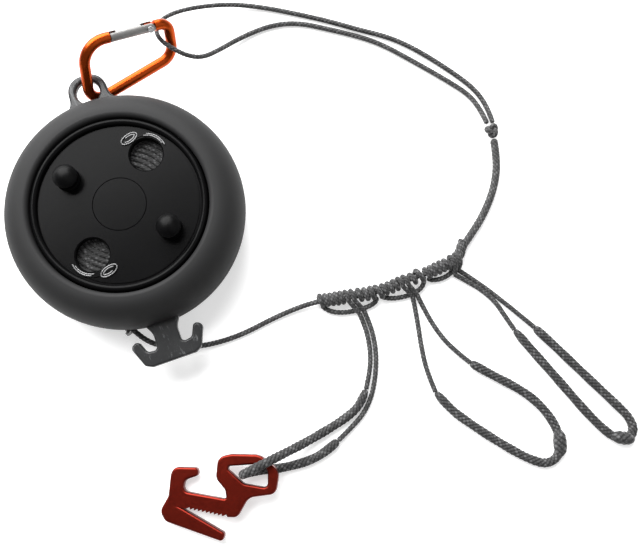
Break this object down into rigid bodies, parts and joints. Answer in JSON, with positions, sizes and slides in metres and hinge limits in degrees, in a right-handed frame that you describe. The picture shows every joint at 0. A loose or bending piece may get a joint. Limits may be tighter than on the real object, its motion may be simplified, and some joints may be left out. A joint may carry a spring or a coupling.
{
  "type": "hand-wound cord reel",
  "caption": "Hand-wound cord reel: soft ring housing, crank disc with finger pegs and holes, a cleat, a lug with a small carabiner, and a braided line with knotted loops and a toothed hook.",
  "frame": {"origin": "centre of the reel's flat rear face, on the crank disc's axis", "axes": "+Z along the crank's axis towards the crank disc, +Y from the reel's centre towards the lug and carabiner, +X to the right seen from the front, the side the loose line lies on"},
  "size_m": [0.1912, 0.2104, 0.0306],
  "materials": {
    "ring_soft": "soft-touch matt",
    "frame_grey": "fine satin",
    "disc_black": "semi-gloss",
    "cap_black": "semi-gloss",
    "peg_black": "satin",
    "spool_black": "matt",
    "bush_white": "natural acetal",
    "cover_grey": "matt",
    "eyelet_black": "smooth",
    "steel": "plated",
    "spring_steel": "bright",
    "carabiner_orange": "orange anodised, glossy",
    "gate_silver": "brushed",
    "hook_red": "dark red anodised, satin",
    "line_grey": "braided",
    "loop_cord": "braided"
  },
  "bodies": {
    "reel": {"housing_frame": "frame_grey", "front_ring": "ring_soft", "rear_ring": "ring_soft", "rear_cover": "cover_grey", "cover_screws": "steel", "line_eyelet": "eyelet_black", "axle_washer": "steel", "axle_screw": "steel", "line_lead": "line_grey", "ridgeline": "line_grey", "ridgeline_splice": "line_grey", "end_loop": "line_grey", "end_knot": "line_grey", "prusik_1_leg_a": "loop_cord", "prusik_1_leg_b": "loop_cord", "prusik_1_splice": "loop_cord", "prusik_1_knot": "loop_cord", "prusik_1_bridge": "loop_cord", "prusik_2_leg_a": "loop_cord", "prusik_2_leg_b": "loop_cord", "prusik_2_splice": "loop_cord", "prusik_2_knot": "loop_cord", "prusik_2_bridge": "loop_cord", "prusik_3_leg_a": "loop_cord", "prusik_3_leg_b": "loop_cord", "prusik_3_splice": "loop_cord", "prusik_3_knot": "loop_cord", "prusik_3_bridge": "loop_cord", "prusik_2_lump": "loop_cord", "prusik_3_lump": "loop_cord"},
    "spool": {"crank_disc": "disc_black", "spool_core": "spool_black", "spool_bush": "bush_white", "finger_peg_a": "peg_black", "finger_peg_b": "peg_black", "wound_line": "line_grey", "hub_cap": "cap_black"},
    "carabiner": {"carabiner_body": "carabiner_orange", "gate_rivet": "steel"},
    "gate": {"carabiner_gate": "gate_silver", "gate_spring": "spring_steel", "gate_plunger": "steel"},
    "hook": {"line_hook": "hook_red"}
  },
  "joints": [
    {"name": "spool_spin", "type": "hinge", "parent": "reel", "child": "spool", "pos_m": [0, 0, 0], "axis": [0, 0, 1], "continuous": true},
    {"name": "carabiner_swing", "type": "hinge", "parent": "reel", "child": "carabiner", "pos_m": [0, 0.047, 0.013], "axis": [1, 0, 0], "range_deg": [-5, 7]},
    {"name": "gate_open", "type": "hinge", "parent": "carabiner", "child": "gate", "pos_m": [0.0289, 0.06079, 0.02], "axis": [0.2582, -0.8138, 0.5207], "range_deg": [0, 25], "stiffness_Nm_per_rad": 0.02},
    {"name": "hook_swing", "type": "hinge", "parent": "reel", "child": "hook", "pos_m": [0.009, -0.10145, 0.003], "axis": [0, 0, 1], "range_deg": [-12, 9]}
  ]
}
